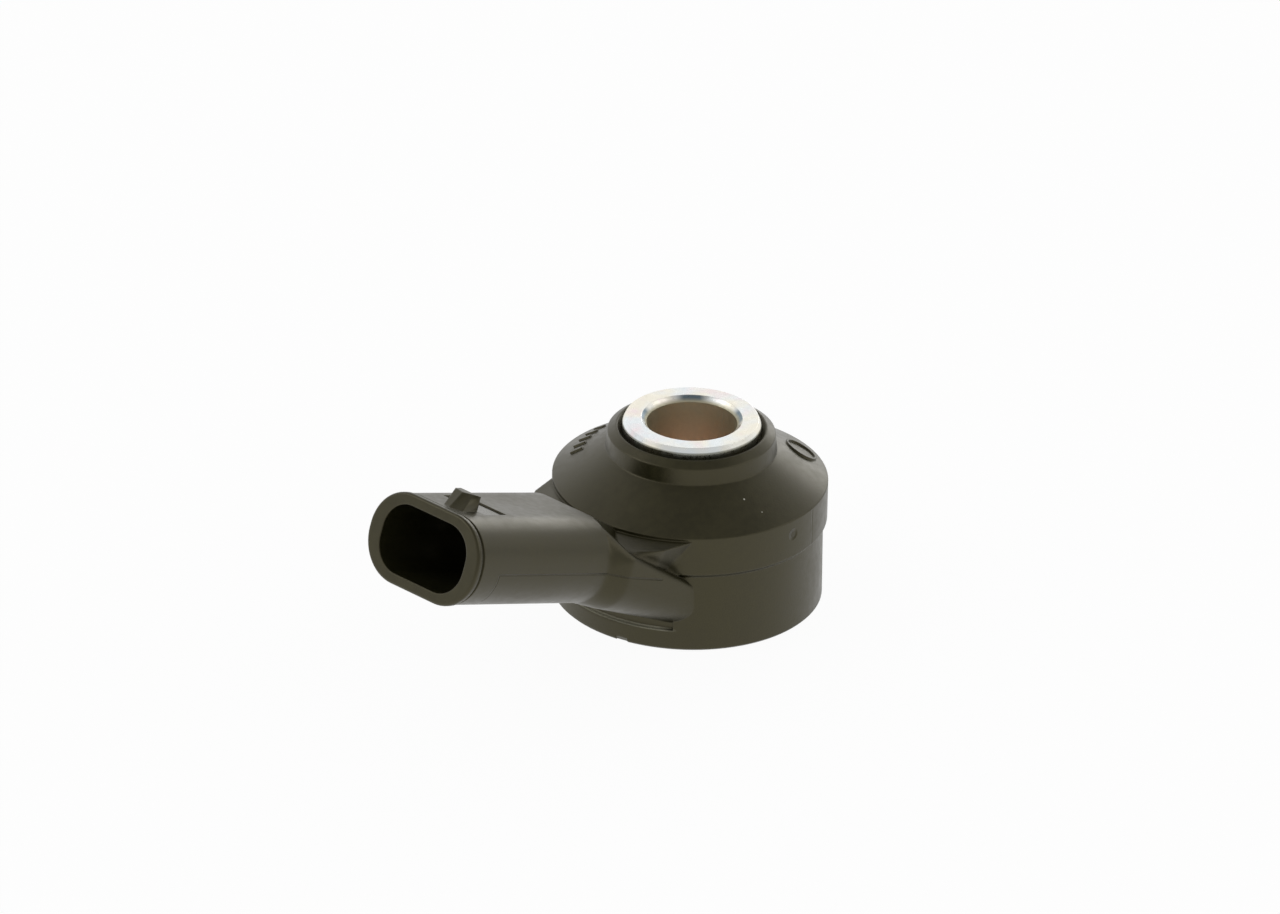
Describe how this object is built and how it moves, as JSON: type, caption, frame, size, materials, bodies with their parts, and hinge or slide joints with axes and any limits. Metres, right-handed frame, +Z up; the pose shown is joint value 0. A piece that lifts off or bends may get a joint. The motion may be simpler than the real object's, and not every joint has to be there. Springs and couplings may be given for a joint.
{
  "type": "engine knock sensor",
  "caption": "Bolt-through piezo knock sensor: black moulded drum with a cone and collar round a steel sleeve, and a slanted oval connector arm with a latch ramp.",
  "frame": {"origin": "on the bolt bore's axis, at the steel foot that lies on the engine", "axes": "+Z up the bolt bore, away from the engine; the connector arm points along -X and tilts up 19.73 degrees; Y runs across it"},
  "size_m": [0.0496, 0.0256, 0.0212],
  "materials": {
    "housing_polyamide": "satin black glass-filled polyamide, as moulded",
    "plated_steel": "turned steel, zinc plated with a faint yellow passivation",
    "insulating_film": "amber insulating film",
    "contact_brass": "stamped brass strip",
    "piezo_ceramic": "sintered piezo ceramic with silvered faces",
    "mass_brass": "turned brass",
    "bare_steel": "bare spring steel",
    "tinned_brass": "tin-plated brass",
    "resistor_ceramic": "lacquered ceramic"
  },
  "bodies": {
    "root": {"housing": "housing_polyamide", "pressure_sleeve": "plated_steel", "insulating_tube": "insulating_film", "lower_insulating_washer": "insulating_film", "upper_insulating_washer": "insulating_film", "lower_contact_disc": "contact_brass", "upper_contact_disc": "contact_brass", "piezo_ring": "piezo_ceramic", "seismic_mass": "mass_brass", "disc_spring": "bare_steel", "threaded_ring": "bare_steel", "terminal_blade_left": "tinned_brass", "terminal_blade_right": "tinned_brass", "bleed_resistor": "resistor_ceramic"}
  },
  "joints": []
}
